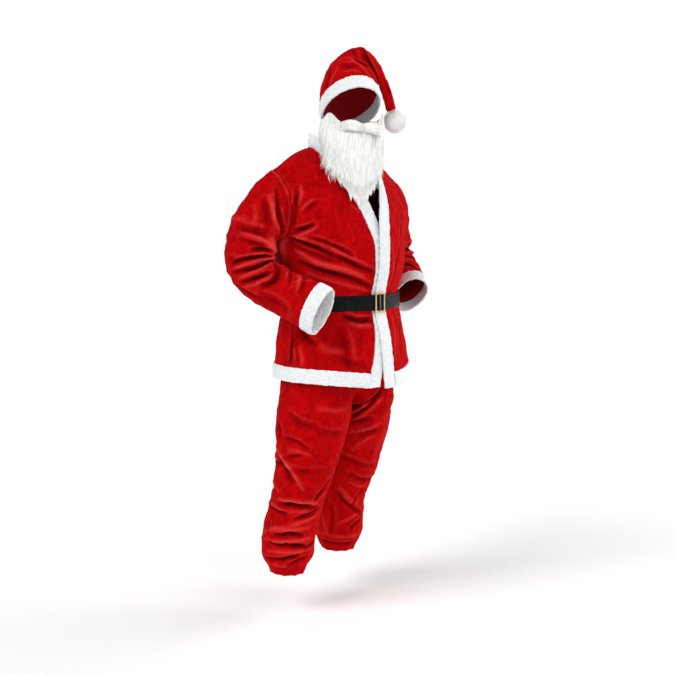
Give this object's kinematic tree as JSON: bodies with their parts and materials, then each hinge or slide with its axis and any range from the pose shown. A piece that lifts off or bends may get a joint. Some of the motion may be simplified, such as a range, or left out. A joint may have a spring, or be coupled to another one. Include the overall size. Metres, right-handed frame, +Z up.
{
  "type": "santa suit",
  "caption": "Plush santa suit in a walking pose: belted jacket with white trim, trousers, pompom hat, beard and moustache; hollow, with no wearer.",
  "frame": {"origin": "midway between the shoulders, on the line where the jacket hangs from its wearer, 1.5 m above the floor that the wearer would stand on", "axes": "+Z up along the standing wearer, -Y out of the chest, +X towards the wearer's left hand"},
  "size_m": [0.8136, 0.4834, 1.7321],
  "materials": {
    "red_plush": "napped",
    "white_plush": "deep pile",
    "black_leatherette": "satin",
    "gold_metal": "polished",
    "red_elastic": "gathered",
    "white_hair": "long fibres",
    "white_elastic": "matte"
  },
  "bodies": {
    "root": {"jacket_back": "red_plush", "jacket_front_right": "red_plush", "jacket_front_left": "red_plush", "sleeve_right": "red_plush", "sleeve_left": "red_plush", "collar": "white_plush", "front_band_right": "white_plush", "front_band_left": "white_plush", "hem_band": "white_plush", "cuff_right": "white_plush", "cuff_left": "white_plush", "belt": "black_leatherette", "belt_buckle": "gold_metal", "waistband": "red_elastic", "trouser_leg_right": "red_plush", "trouser_leg_left": "red_plush", "hat_crown": "red_plush", "hat_band": "white_plush", "pompom": "white_plush", "beard": "white_hair", "moustache": "white_hair", "beard_elastic": "white_elastic"}
  },
  "joints": []
}
